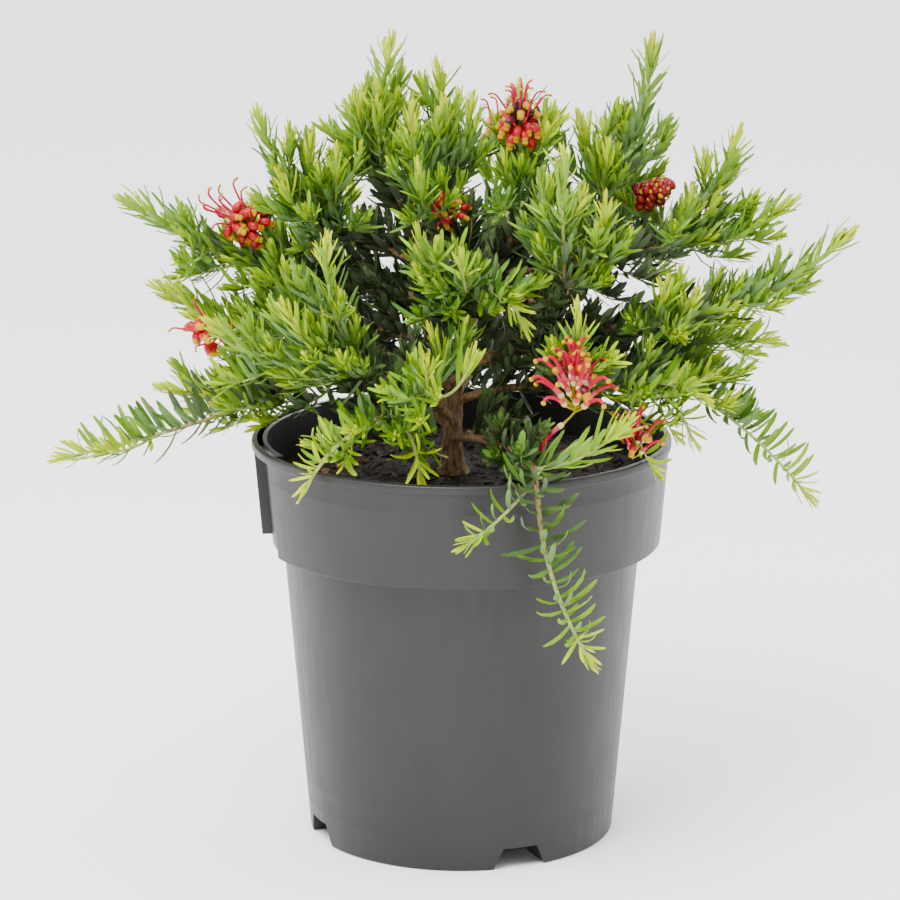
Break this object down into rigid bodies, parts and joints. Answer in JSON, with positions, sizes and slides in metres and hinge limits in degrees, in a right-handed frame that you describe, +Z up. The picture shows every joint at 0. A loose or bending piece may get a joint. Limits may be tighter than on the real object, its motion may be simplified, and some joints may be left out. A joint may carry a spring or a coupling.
{
  "type": "potted fireworks grevillea shrub",
  "caption": "Young spreading evergreen shrub with narrow leaves and red and yellow spider flowers, in a round ribless nursery pot with a deep band and a label slot.",
  "frame": {"origin": "centre of the pot's flat underside", "axes": "+Z up; the pictured side faces -Y, and +X is to its right"},
  "size_m": [0.3914, 0.2767, 0.3921],
  "materials": {
    "pot_plastic": "satin dark grey moulded polypropylene",
    "potting_mix": "damp dark potting mix of bark chips",
    "bark": "thin reddish brown bark with fine cracks",
    "foliage": "narrow soft leaves, yellow green at the tips and dull green below, with red and yellow flowers"
  },
  "bodies": {
    "root": {"pot": "pot_plastic", "soil": "potting_mix", "trunk": "bark", "left_stem": "bark", "right_stem": "bark", "low_left_bough": "bark", "front_left_bough": "bark", "hanging_left_bough": "bark", "mid_left_bough": "bark", "left_high_bough": "bark", "upper_left_bough": "bark", "top_centre_bough": "bark", "centre_front_bough": "bark", "right_high_bough": "bark", "front_right_high_bough": "bark", "right_bough": "bark", "front_right_bough": "bark", "right_up_bough": "bark", "right_low_bough": "bark", "right_front_low_bough": "bark", "front_low_bough": "bark", "pot_front_bough": "bark", "trailing_bough": "bark", "back_left_bough": "bark", "back_low_left_bough": "bark", "back_top_bough": "bark", "back_bough": "bark", "back_low_bough": "bark", "back_right_bough": "bark", "top_left_foliage": "foliage", "top_right_foliage": "foliage", "low_left_arm_foliage": "foliage", "front_left_foliage": "foliage", "hanging_left_foliage": "foliage", "mid_left_foliage": "foliage", "left_high_foliage": "foliage", "upper_left_foliage": "foliage", "top_centre_foliage": "foliage", "centre_front_foliage": "foliage", "right_high_foliage": "foliage", "front_right_high_foliage": "foliage", "right_far_foliage": "foliage", "front_right_foliage": "foliage", "right_up_foliage": "foliage", "right_low_foliage": "foliage", "right_front_low_foliage": "foliage", "front_low_foliage": "foliage", "pot_front_foliage": "foliage", "trailing_foliage": "foliage", "back_left_foliage": "foliage", "back_low_left_foliage": "foliage", "back_top_foliage": "foliage", "back_foliage": "foliage", "back_low_foliage": "foliage", "back_right_foliage": "foliage"}
  },
  "joints": []
}
